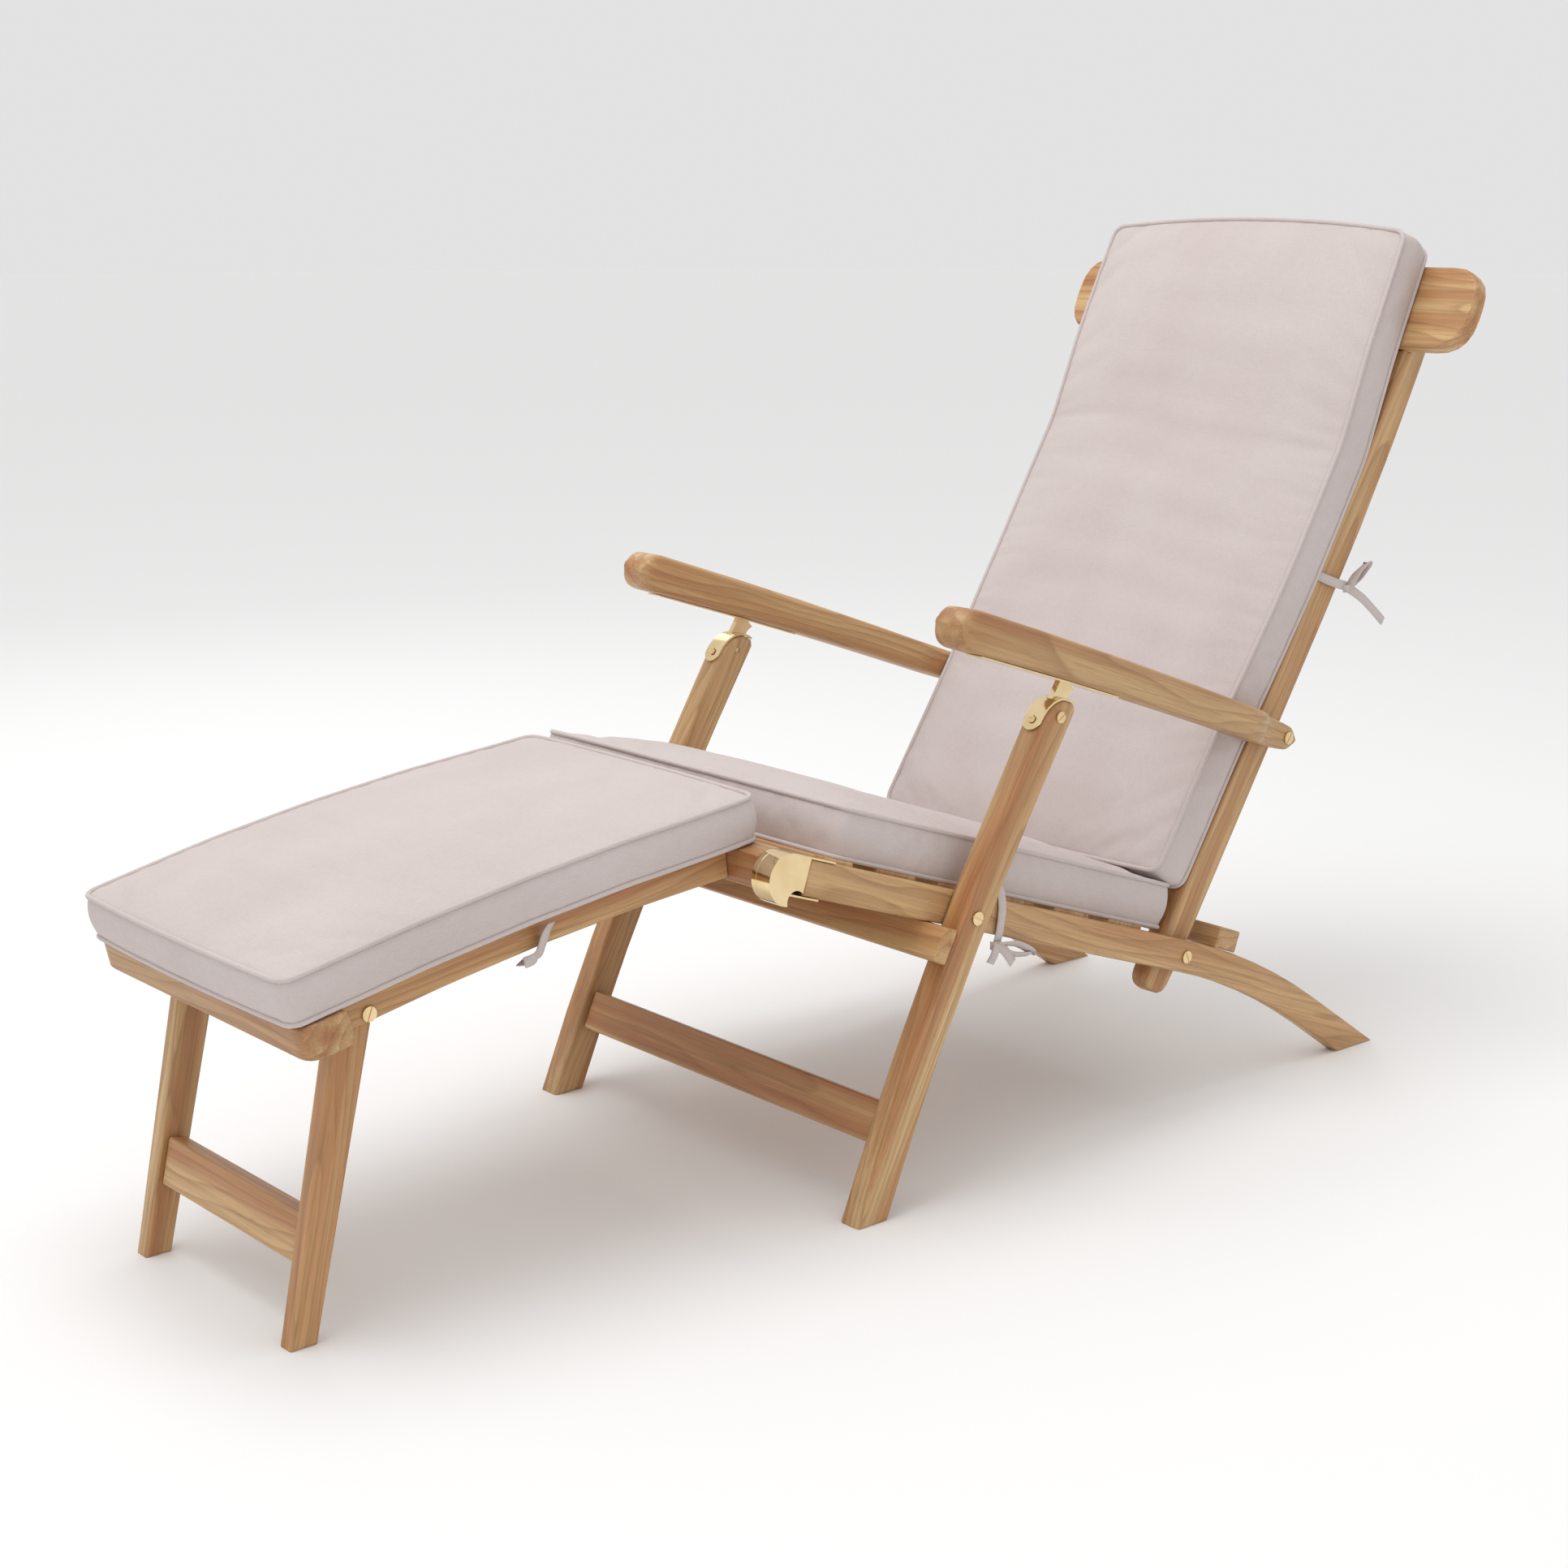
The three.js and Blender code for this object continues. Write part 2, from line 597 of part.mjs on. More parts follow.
function buildBackFrame() {
  const half = STILE_DEPTH / 2;
  const ups = [0, STILE_STRAIGHT, 550, 655, 760, STILE_TOP];
  const front = ups.map((up) => inFrontOfStile(up, half));
  const rear = ups.map((up) => inFrontOfStile(up, -half)).reverse();
  const round = 16;
  const corner = (forward) => offset(inFrontOfStile(0, forward), STILE_SLOPE, -STILE_BELOW + round);
  const low = [
    ...arc(corner(-half + round), round, STILE_SLOPE - Math.PI / 2, STILE_SLOPE - Math.PI, 4),
    ...arc(corner(half - round), round, STILE_SLOPE + Math.PI, STILE_SLOPE + Math.PI / 2, 4),
  ];
  const stile = plank([...rear, ...low, ...front], STILE_IN, STILE_OUT, 3);
  const pivotHole = rod(BACK_PIVOT, HOLE, STILE_IN - 1, STILE_OUT + 1, 12);
  addPair('back_stile', cut(stile, headrail(GAP), pivotHole), teak);
  add('headrail', headrail(), teak());

  const slatWidth = 56;
  const between = STILE_IN - GAP;
  const firstUp = 150;
  const pitch = 132;
  const names = ['back_bottom_rail', 'back_slat_1', 'back_slat_2', 'back_slat_3', 'back_slat_4'];
  names.forEach((name, i) => {
    const up = firstUp + i * pitch;
    const thickness = i === 0 ? 22 : SLAT_THICKNESS;
    const [, slope] = stilePoint(up);
    const middle = inFrontOfStile(up, half - thickness / 2);
    add(name, bar(middle, slope, slatWidth, thickness, -between, between, 2), teak());
  });
}

// ---------------------------------------------------------------- footrest
// Middle line of the footrest rail by distance forward of the hinge beam, with its slope.
function footLine(forward) {
  const share = forward / FOOT_RAIL_LENGTH;
  const turn = FOOT_SLOPE_FRONT - FOOT_SLOPE_BACK;
  const chordSlope = FOOT_SLOPE_BACK + (turn * share) / 2;
  return [offset(FOOT_RAIL_BACK, chordSlope, -forward), FOOT_SLOPE_BACK + turn * share];
}

function onFootrest(forward, above) {
  const [point, slope] = footLine(forward);
  return offset(point, slope, 0, FOOT_RAIL_DEPTH / 2 + above);
}

function buildFootrestFrame() {
  const stations = [0, 1, 2, 3, 4].map((i) => (FOOT_RAIL_LENGTH * i) / 4);
  const top = stations.map((forward) => onFootrest(forward, 0));
  const bottom = stations.map((forward) => onFootrest(forward, -FOOT_RAIL_DEPTH)).reverse();
  const rail = plank([...bottom, ...top], FOOT_RAIL_IN, FOOT_RAIL_OUT, 3);
  const screwHole = rod(FOOT_LEG_PIVOT, HOLE, FOOT_RAIL_IN - 1, FOOT_RAIL_OUT + 1, 12);
  addPair('footrest_rail', cut(rail, screwHole), teak);
  addPair('foot_leg_screw', screw(
    FOOT_LEG_PIVOT, HEAD, 70, FOOT_RAIL_OUT + GAP, FOOT_LEG_IN + 3,
  ), brass);

  // Hinge beam across the back of the footrest, in line with the hinge pins.
  const beamMiddle = offset(FOOT_RAIL_BACK, FOOT_SLOPE_BACK, 15.5 + GAP, -0.5);
  const beam = bar(beamMiddle, FOOT_SLOPE_BACK, 31, 37, -BEAM_END, BEAM_END, 3);
  add('footrest_hinge_beam', beam, teak());

  // Front rail: a board with ends rounded in plan, laid at the slope of the rails.
  const depth = 48;
  const thickness = 34;
  const half = 196;
  const round = 22;
  const shape = new THREE.Shape();
  shape.moveTo(half, 0);
  shape.lineTo(half, depth - round);
  shape.quadraticCurveTo(half, depth, half - round, depth);
  shape.lineTo(-half + round, depth);
  shape.quadraticCurveTo(-half, depth, -half, depth - round);
  shape.lineTo(-half, 0);
  const bevel = 4;
  const board = new THREE.ExtrudeGeometry(shape, {
    depth: thickness - 2 * bevel,
    bevelEnabled: true,
    bevelSize: bevel,
    bevelThickness: bevel,
    bevelOffset: -bevel,
    bevelSegments: 2,
    curveSegments: 5,
  });
  board.rotateX(Math.PI);
  board.translate(0, 0, thickness / 2 - bevel);
  const [frontEnd, frontSlope] = footLine(FOOT_RAIL_LENGTH);
  board.rotateX(frontSlope);
  const place = offset(frontEnd, frontSlope, -2 * GAP);
  board.translate(0, place[0], place[1]);
  add('footrest_front_rail', board, teak());

  const slatWidth = 50;
  const between = FOOT_RAIL_IN - GAP;
  for (let i = 0; i < 4; i += 1) {
    const forward = 60 + i * 90;
    const [, slope] = footLine(forward);
    const middle = onFootrest(forward, SLAT_PROUD - SLAT_THICKNESS / 2);
    add(`footrest_slat_${i + 1}`, bar(middle, slope, slatWidth, SLAT_THICKNESS, -between, between, 2), teak());
  }
}

// Inner half of the hinge: a disc on the end of the beam.
function buildFootrestKnuckles() {
  const disc = rod(FOOTREST_PIVOT, 26.5, KNUCKLE_IN, KNUCKLE_SPLIT, 32);
  const pinHole = rod(FOOTREST_PIVOT, HOLE, KNUCKLE_IN + 0.7, KNUCKLE_SPLIT + 1, 12);
  addPair('footrest_knuckle', cut(disc, pinHole), brass);
}

// ---------------------------------------------------------------- footrest legs
const FOOT_LEG_FOOT_Y = -749;

function buildFootrestLegs() {
  const topHalf = 19;
  const footHalf = 14;
  const slope = Math.atan2(FOOT_LEG_PIVOT[1], FOOT_LEG_PIVOT[0] - FOOT_LEG_FOOT_Y);
  const outline = [
    [FOOT_LEG_FOOT_Y - footHalf, 0],
    [FOOT_LEG_FOOT_Y + footHalf, 0],
    ...arc(FOOT_LEG_PIVOT, topHalf, slope - Math.PI / 2, slope + Math.PI / 2, 8),
  ];
  const leg = plank(outline, FOOT_LEG_IN, FOOT_LEG_OUT, 3);
  const screwHole = rod(FOOT_LEG_PIVOT, HOLE, FOOT_LEG_IN - 1, FOOT_LEG_OUT + 1, 12);
  addPair('footrest_leg', cut(leg, screwHole), teak);

  const up = 97;
  const middle = offset([FOOT_LEG_FOOT_Y, 0], slope, up);
  const half = FOOT_LEG_IN - GAP;
  add('footrest_stretcher', bar(middle, slope, 48, 20, -half, half, 4), teak());
}

// ---------------------------------------------------------------- cushions
const CUSHION_LIFT = SLAT_PROUD + 2 * GAP;
const SEAT_CUSHION_FRONT = -2;

function buildSeatCushion() {
  const stileFront = (z) => {
    const [y0, z0] = inFrontOfStile(0, STILE_DEPTH / 2 + 3);
    return y0 + (z - z0) / Math.tan(STILE_SLOPE);
  };
  const low = onRailTop(SEAT_CUSHION_FRONT, CUSHION_LIFT);
  const high = onRailTop(SEAT_CUSHION_FRONT, CUSHION_LIFT + CUSHION_THICKNESS);
  const reach = (start) => {
    let along = 560;
    for (let i = 0; i < 20; i += 1) {
      const [y, z] = offset(start, -RAIL_SLOPE, along);
      along += (stileFront(z) - y) / Math.cos(RAIL_SLOPE) / 1.3;
    }
    return offset(start, -RAIL_SLOPE, along);
  };
  const outline = [low, reach(low), reach(high), high];
  const cushion = plank(outline, -SEAT_CUSHION_HALF, SEAT_CUSHION_HALF, 5);
  add('seat_cushion', cushion, fabric());
}

function buildFootrestCushion() {
  const stations = [30, 140, 250, 360, 500];
  const low = stations.map((forward) => onFootrest(forward, CUSHION_LIFT));
  const high = stations.map((forward) => onFootrest(forward, CUSHION_LIFT + FOOT_CUSHION_THICKNESS));
  const rear = -26;
  const lowRear = onFootrest(rear, CUSHION_LIFT + 2);
  const highRear = onFootrest(rear, CUSHION_LIFT + FOOT_CUSHION_THICKNESS + 2);
  const outline = [lowRear, highRear, ...high, ...low.reverse()].reverse();
  add('footrest_cushion', plank(outline, -FOOT_CUSHION_HALF, FOOT_CUSHION_HALF, 5), fabric());
}

function buildBackCushion() {
  const behind = STILE_DEPTH / 2 + 3;
  const thickness = CUSHION_THICKNESS;
  const seatTop = (y) => {
    const [y0, z0] = onRailTop(0, CUSHION_LIFT + CUSHION_THICKNESS + 2);
    return z0 - (y - y0) * Math.tan(RAIL_SLOPE);
  };
  const onSeat = (forward) => {
    let up = 60;
    for (let i = 0; i < 20; i += 1) {
      const [y, z] = inFrontOfStile(up, forward);
      up += (seatTop(y) - z) * 0.6;
    }
    return inFrontOfStile(up, forward);
  };
  const headClear = HEADRAIL_FORWARD + HEADRAIL_THICKNESS / 2 + 2;
  const outline = [
    onSeat(behind),
    inFrontOfStile(STILE_STRAIGHT, behind),
    inFrontOfStile(620, behind),
    inFrontOfStile(740, headClear),
    inFrontOfStile(892, headClear),
    inFrontOfStile(892, headClear + thickness),
    inFrontOfStile(740, headClear + thickness),
    inFrontOfStile(620, behind + thickness),
    inFrontOfStile(STILE_STRAIGHT, behind + thickness),
    onSeat(behind + thickness),
  ];
  add('back_cushion', plank(outline, -SEAT_CUSHION_HALF, SEAT_CUSHION_HALF, 5), fabric());
}

buildSideRails();
buildRearCrossRail();
buildSeatSlats();
buildSeatKnuckles();
buildBackPivotScrews();
buildFrontLegs();
buildLegCrossRails();
buildLegCaps();
buildLegScrews();
buildArms();
buildArmPlates();
buildBackFrame();
buildFootrestFrame();
buildFootrestKnuckles();
buildFootrestLegs();
buildSeatCushion();
buildFootrestCushion();
buildBackCushion();

// Middle of the chair's length over the origin.
const extent = new THREE.Box3().setFromObject(chair);
chair.position.y = -(extent.min.y + extent.max.y) / 2;

export default chair;
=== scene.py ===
import math

import bpy
import numpy as np
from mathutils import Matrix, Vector, geometry
from mathutils.bvhtree import BVHTree


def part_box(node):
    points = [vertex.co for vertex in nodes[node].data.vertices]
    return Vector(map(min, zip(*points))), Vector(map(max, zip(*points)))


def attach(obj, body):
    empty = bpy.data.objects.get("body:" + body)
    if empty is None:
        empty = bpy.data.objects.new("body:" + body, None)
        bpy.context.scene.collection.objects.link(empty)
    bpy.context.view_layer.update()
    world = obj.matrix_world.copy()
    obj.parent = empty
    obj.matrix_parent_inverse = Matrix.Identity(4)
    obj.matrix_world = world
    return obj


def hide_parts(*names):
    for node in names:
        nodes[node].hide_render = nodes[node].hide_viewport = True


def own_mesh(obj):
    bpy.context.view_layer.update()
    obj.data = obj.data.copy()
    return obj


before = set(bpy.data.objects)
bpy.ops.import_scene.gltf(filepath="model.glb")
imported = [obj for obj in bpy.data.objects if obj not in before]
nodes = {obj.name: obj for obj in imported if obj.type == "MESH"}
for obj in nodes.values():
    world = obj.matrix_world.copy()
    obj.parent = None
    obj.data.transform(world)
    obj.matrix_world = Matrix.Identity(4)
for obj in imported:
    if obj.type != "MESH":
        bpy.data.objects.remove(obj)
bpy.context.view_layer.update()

MM = 0.001
SIDES = (("left", 1), ("right", -1))


# ---------------------------------------------------------------- camera, light and floor
CAMERA_PLACE = Vector((2.071, -1.834, 1.026))
CAMERA_AZIMUTH = -0.7092
CAMERA_ELEVATION = 0.2280
CAMERA_LENS = 59.264


def toward(azimuth, elevation):
    """The unit vector that points at an azimuth from +X and an elevation above the floor."""
    flat = math.cos(elevation)
    return Vector((flat * math.cos(azimuth), flat * math.sin(azimuth), math.sin(elevation)))


def make_camera():
    data = bpy.data.cameras.new("camera")
    data.lens = CAMERA_LENS
    data.sensor_width = 36
    data.clip_end = 50
    camera = bpy.data.objects.new("camera", data)
    bpy.context.scene.collection.objects.link(camera)
    camera.location = CAMERA_PLACE
    back = toward(CAMERA_AZIMUTH, CAMERA_ELEVATION)
    camera.rotation_mode = "QUATERNION"
    camera.rotation_quaternion = (-back).to_track_quat("-Z", "Y")
    bpy.context.scene.camera = camera


def area_light(name, place, target, size, power, tint=(1, 1, 1)):
    data = bpy.data.lights.new(name, "AREA")
    data.shape = "DISK"
    data.size = size
    data.energy = power
    data.color = tint
    light = bpy.data.objects.new(name, data)
    bpy.context.scene.collection.objects.link(light)
    light.location = place
    aim = Vector(target) - Vector(place)
    light.rotation_mode = "QUATERNION"
    light.rotation_quaternion = aim.to_track_quat("-Z", "Y")


def make_light():
    world = bpy.data.worlds.new("studio")
    bpy.context.scene.world = world
    world.use_nodes = True
    tree = world.node_tree
    direction = make(tree, "ShaderNodeTexCoord").outputs["Generated"]
    height = make(tree, "ShaderNodeSeparateXYZ", {"Vector": direction}).outputs["Z"]
    background = tree.nodes["Background"]
    tree.links.new(ramp(tree, height, (0.0, 0.83), (0.3, 0.83), (1.0, 1.0)), background.inputs["Color"])
    background.inputs["Strength"].default_value = 0.92
    middle = (0, 0, 0.4)
    area_light("overhead", (-0.2, -0.7, 3.4), middle, 2.4, 40)
    area_light("front_fill", (1.2, -3.4, 2.2), middle, 2.0, 4)
    area_light("side_rim", (-2.8, 0.6, 1.9), middle, 1.4, 6)
    bpy.context.scene.view_settings.view_transform = "Standard"


def make_floor():
    radius = 30
    corners = [(radius * math.cos(a), radius * math.sin(a), 0) for a in np.linspace(0, 2 * math.pi, 65)[:-1]]
    floor = mesh_object("floor", corners, [list(range(len(corners)))])
    material = bpy.data.materials.new("floor")
    material.use_nodes = True
    shader = material.node_tree.nodes["Principled BSDF"]
    shader.inputs["Base Color"].default_value = (0.91, 0.908, 0.905, 1)
    shader.inputs["Roughness"].default_value = 0.9
    shader.inputs["Specular IOR Level"].default_value = 0.1
    floor.data.materials.append(material)


# ---------------------------------------------------------------- mesh helpers
def mesh_object(name, points, faces, smooth=False):
    data = bpy.data.meshes.new(name)
    data.from_pydata([tuple(p) for p in points], [], faces)
    data.update()
    if smooth:
        data.polygons.foreach_set("use_smooth", [True] * len(data.polygons))
    piece = bpy.data.objects.new(name, data)
    bpy.context.scene.collection.objects.link(piece)
    return piece


def apply_modifiers(piece):
    """Replaces the piece's mesh with what its modifiers make of it."""
    graph = bpy.context.evaluated_depsgraph_get()
    made = bpy.data.meshes.new_from_object(piece.evaluated_get(graph))
    piece.modifiers.clear()
    piece.data = made


def loft(name, rings, closed=False, smooth=True):
    """A skin over rings of points, each ring closed, with flat ends unless the last ring joins the first."""
    count = len(rings[0])
    points = [p for ring in rings for p in ring]
    faces = []
    spans = len(rings) if closed else len(rings) - 1
    for i in range(spans):
        near = i * count
        far = ((i + 1) % len(rings)) * count
        for k in range(count):
            after = (k + 1) % count
            faces.append((near + k, near + after, far + after, far + k))
    if not closed:
        faces.append(tuple(range(count))[::-1])
        faces.append(tuple(range((len(rings) - 1) * count, len(rings) * count)))
    return mesh_object(name, points, faces, smooth)


def tube(name, path, radius, sides=10, closed=False):
    """A round cord along a path."""
    path = [Vector(p) for p in path]
    count = len(path)
    rings = []
    up = Vector((0, 0, 1))
    for i, point in enumerate(path):
        before = path[(i - 1) % count] if closed or i > 0 else path[0]
        after = path[(i + 1) % count] if closed or i < count - 1 else path[-1]
        along = (after - before).normalized()
        first = along.cross(up)
        if first.length < 0.2:
            first = along.cross(Vector((1, 0, 0)))
        first.normalize()
        second = first.cross(along)
        turns = [2 * math.pi * k / sides for k in range(sides)]
        rings.append([point + radius * (math.cos(a) * first + math.sin(a) * second) for a in turns])
    return loft(name, rings, closed)


def smooth_path(points, per_span=8):
    """A smooth curve through the points."""
    points = [Vector(p) for p in points]
    made = []
    for i in range(len(points) - 1):
        a, b = points[i], points[i + 1]
        before = points[max(i - 1, 0)]
        after = points[min(i + 2, len(points) - 1)]
        handle_a = a + (b - before) / 6
        handle_b = b - (after - a) / 6
        made += geometry.interpolate_bezier(a, handle_a, handle_b, b, per_span + 1)[:-1]
    return made + [points[-1]]


def ribbon(name, points, across, width, thickness=1.6 * MM):
    """A flat strap through the points. across is its width direction, one for all or one per point."""
    path = smooth_path(points)
    spans = len(points) - 1
    directions = across if isinstance(across, list) else [across] * len(points)
    widths = [Vector(a).normalized() for a in directions]
    rings = []
    for i, point in enumerate(path):
        share = i / (len(path) - 1) * spans
        at = min(int(share), spans - 1)
        side = widths[at].lerp(widths[at + 1], share - at).normalized()
        along = (path[min(i + 1, len(path) - 1)] - path[max(i - 1, 0)]).normalized()
        normal = side.cross(along).normalized()
        side = along.cross(normal).normalized()
        a, b = side * width / 2, normal * thickness / 2
        edge = side * (width / 2 - thickness * 0.3)
        below = [point - edge - b, point + edge - b]
        above = [point + edge + b, point - edge + b]
        rings.append([*below, point + a, *above, point - a])
    return loft(name, rings)


# ---------------------------------------------------------------- shader helpers
def linear(red, green, blue):
    """A colour given as display values from 0 to 255."""
    def one(value):
        value /= 255
        return value / 12.92 if value <= 0.04045 else ((value + 0.055) / 1.055) ** 2.4
    return (one(red), one(green), one(blue))


def make(tree, kind, inputs=None, **settings):
    """A shader node with its settings, and its inputs linked or set."""
    made = tree.nodes.new(kind)
    for key, value in settings.items():
        setattr(made, key, value)
    for key, value in (inputs or {}).items():
        if isinstance(value, bpy.types.NodeSocket):
            tree.links.new(value, made.inputs[key])
        else:
            made.inputs[key].default_value = value
    return made


def maths(tree, operation, *values):
    return make(tree, "ShaderNodeMath", dict(enumerate(values)), operation=operation).outputs[0]


def ramp(tree, value, *stops):
    """Colours or greys over a value from 0 to 1, each stop as (place, colour)."""
    made = make(tree, "ShaderNodeValToRGB", {"Fac": value})
    elements = made.color_ramp.elements
    elements.remove(elements[1])
    for i, (place, tint) in enumerate(stops):
        element = elements[0] if i == 0 else elements.new(place)
        element.position = place
        element.color = (*tint, 1) if isinstance(tint, tuple) else (tint, tint, tint, 1)
    return made.outputs["Color"]


def stretched_noise(tree, vector, scale, detail=2.0, roughness=0.5):
    scaled = make(tree, "ShaderNodeVectorMath", {0: vector, 1: scale}, operation="MULTIPLY").outputs[0]
    inputs = {"Vector": scaled, "Scale": 1.0, "Detail": detail, "Roughness": roughness}
    return make(tree, "ShaderNodeTexNoise", inputs).outputs["Fac"]


def blend_colours(tree, share, first, second, kind="MIX"):
    made = make(tree, "ShaderNodeMix", {"Factor": share}, data_type="RGBA", blend_type=kind)
    for key, value in (("A", first), ("B", second)):
        socket = [s for s in made.inputs if s.name == key and s.type == "RGBA"][0]
        if isinstance(value, bpy.types.NodeSocket):
            tree.links.new(value, socket)
        else:
            socket.default_value = (*value, 1)
    return [s for s in made.outputs if s.type == "RGBA"][0]


def new_material(name):
    material = bpy.data.materials.new(name)
    material.use_nodes = True
    tree = material.node_tree
    return material, tree, tree.nodes["Principled BSDF"]


def bump(tree, shader, height, strength, distance, under=None):
    inputs = {"Height": height, "Strength": strength, "Distance": distance}
    if under is not None:
        inputs["Normal"] = under
    made = make(tree, "ShaderNodeBump", inputs).outputs["Normal"]
    tree.links.new(made, shader.inputs["Normal"])
    return made


# ---------------------------------------------------------------- materials
TEAK_PALE = linear(214, 180, 130)
TEAK_MID = linear(192, 146, 97)
TEAK_DARK = linear(144, 97, 56)
TEAK_RED = linear(177, 119, 75)
RINGS_PER_METRE = 95


def teak(name, slope=None):
    """Oiled teak. The grain runs along a slope in the side view, or across the chair if slope is None."""
    material, tree, shader = new_material(name)
    place = make(tree, "ShaderNodeTexCoord").outputs["Object"]
    turn = (0, 0, math.pi / 2) if slope is None else (-slope, 0, 0)
    chance = make(tree, "ShaderNodeObjectInfo").outputs["Random"]
    shift = make(tree, "ShaderNodeCombineXYZ", {
        "X": maths(tree, "MULTIPLY", chance, 3.7),
        "Y": maths(tree, "MULTIPLY", chance, 11.3),
        "Z": maths(tree, "MULTIPLY", chance, 7.9),
    }).outputs[0]
    grain = make(tree, "ShaderNodeMapping", {"Vector": place, "Rotation": turn, "Location": shift}).outputs[0]
    parts = make(tree, "ShaderNodeSeparateXYZ", {"Vector": grain}).outputs
    tilt_across = maths(tree, "MULTIPLY", parts["X"], 0.55)
    tilt_up = maths(tree, "MULTIPLY", parts["Z"], 0.8)
    tilt = maths(tree, "ADD", tilt_across, tilt_up)
    waver = stretched_noise(tree, grain, (11, 1.6, 11), 2.0)
    spacing = maths(tree, "MULTIPLY", tilt, RINGS_PER_METRE)
    rings = maths(tree, "FRACT", maths(tree, "ADD", spacing, maths(tree, "MULTIPLY", waver, 11.0)))
    ring_tone = ramp(tree, rings, (0.0, 0.10), (0.40, 0.25), (0.75, 0.60), (0.92, 1.0), (1.0, 0.10))
    fibre = stretched_noise(tree, grain, (420, 7, 420), 3.0, 0.65)
    streak = stretched_noise(tree, grain, (55, 1.1, 55), 2.0)
    pore_noise = stretched_noise(tree, grain, (1100, 34, 1100), 1.0)
    pores = ramp(tree, pore_noise, (0.0, 1.0), (0.30, 1.0), (0.36, 0.0))
    heart = stretched_noise(tree, grain, (7, 0.9, 7), 1.0)

    ground = ramp(tree, streak, (0.3, TEAK_PALE), (0.5, TEAK_MID), (0.7, TEAK_RED))
    sapwood = ramp(tree, heart, (0.60, 0.0), (0.68, 0.55))
    ground = blend_colours(tree, sapwood, ground, TEAK_PALE)
    ringed = blend_colours(tree, maths(tree, "MULTIPLY", ring_tone, 0.5), ground, TEAK_DARK)
    fibre_tone = ramp(tree, fibre, (0.3, 0.80), (0.7, 1.08))
    coloured = blend_colours(tree, 1.0, ringed, fibre_tone, "MULTIPLY")
    coloured = blend_colours(tree, maths(tree, "MULTIPLY", pores, 0.35), coloured, TEAK_DARK)
    piece_tone = ramp(tree, chance, (0.0, 0.90), (1.0, 1.07))
    coloured = blend_colours(tree, 1.0, coloured, piece_tone, "MULTIPLY")
    tree.links.new(coloured, shader.inputs["Base Color"])
    tree.links.new(ramp(tree, fibre, (0.3, 0.52), (0.7, 0.38)), shader.inputs["Roughness"])
    under = bump(tree, shader, fibre, 0.25, 0.3 * MM)
    bump(tree, shader, maths(tree, "SUBTRACT", 1.0, pores), 0.2, 0.2 * MM, under)
    return material


def brass(name="brass"):
    """Polished brass with faint rubbing marks and a slightly uneven tone."""
    material, tree, shader = new_material(name)
    place = make(tree, "ShaderNodeTexCoord").outputs["Object"]
    rubbed = stretched_noise(tree, place, (900, 120, 900), 3.0)
    toned = stretched_noise(tree, place, (40, 40, 40), 2.0)
    tint = ramp(tree, toned, (0.3, linear(226, 198, 148)), (0.7, linear(238, 216, 172)))
    tree.links.new(tint, shader.inputs["Base Color"])
    shader.inputs["Metallic"].default_value = 1.0
    tree.links.new(ramp(tree, rubbed, (0.3, 0.07), (0.75, 0.16)), shader.inputs["Roughness"])
    bump(tree, shader, rubbed, 0.03, 0.05 * MM)
    return material


THREADS_PER_METRE = 1100


def canvas(name, slope):
    """Matt greige canvas. slope is the direction of the cushion's length in the side view."""
    material, tree, shader = new_material(name)
    place = make(tree, "ShaderNodeTexCoord").outputs["Object"]
    laid = make(tree, "ShaderNodeMapping", {"Vector": place, "Rotation": (-slope, 0, 0)}).outputs[0]
    parts = make(tree, "ShaderNodeSeparateXYZ", {"Vector": laid}).outputs
    pitch = 2 * math.pi * THREADS_PER_METRE / 2
    waves = [maths(tree, "SINE", maths(tree, "MULTIPLY", parts[axis], pitch)) for axis in ("X", "Y", "Z")]
    crossings = [maths(tree, "MULTIPLY", waves[a], waves[b]) for a, b in ((0, 1), (1, 2), (0, 2))]
    weave = maths(tree, "ADD", maths(tree, "ADD", crossings[0], crossings[1]), crossings[2])
    slubs = stretched_noise(tree, laid, (1500, 90, 1500), 2.0)
    cross_slubs = stretched_noise(tree, laid, (90, 1500, 600), 2.0)
    cloudy = stretched_noise(tree, laid, (9, 6, 9), 2.0)
    ground = ramp(tree, cloudy, (0.3, linear(199, 187, 184)), (0.7, linear(204, 193, 190)))
    threads = maths(tree, "MULTIPLY", maths(tree, "ADD", slubs, cross_slubs), 0.5)
    toned = ramp(tree, threads, (0.35, 0.94), (0.65, 1.04))
    tree.links.new(blend_colours(tree, 1.0, ground, toned, "MULTIPLY"), shader.inputs["Base Color"])
    shader.inputs["Roughness"].default_value = 0.92
    shader.inputs["Specular IOR Level"].default_value = 0.25
    shader.inputs["Sheen Weight"].default_value = 0.06
    shader.inputs["Sheen Roughness"].default_value = 0.6
    under = bump(tree, shader, weave, 0.22, 0.18 * MM)
    bump(tree, shader, threads, 0.25, 0.25 * MM, under)
    return material


# ---------------------------------------------------------------- frame pieces kept from the model
def slope_of(name):
    """Direction of a piece's length in the side view, always taken towards the back of the chair."""
    points = np.array([v.co for v in nodes[name].data.vertices])[:, 1:]
    spread = np.cov((points - points.mean(0)).T)
    along = np.linalg.eigh(spread)[1][:, -1]
    if along[0] < 0:
        along = -along
    return math.atan2(along[1], along[0])


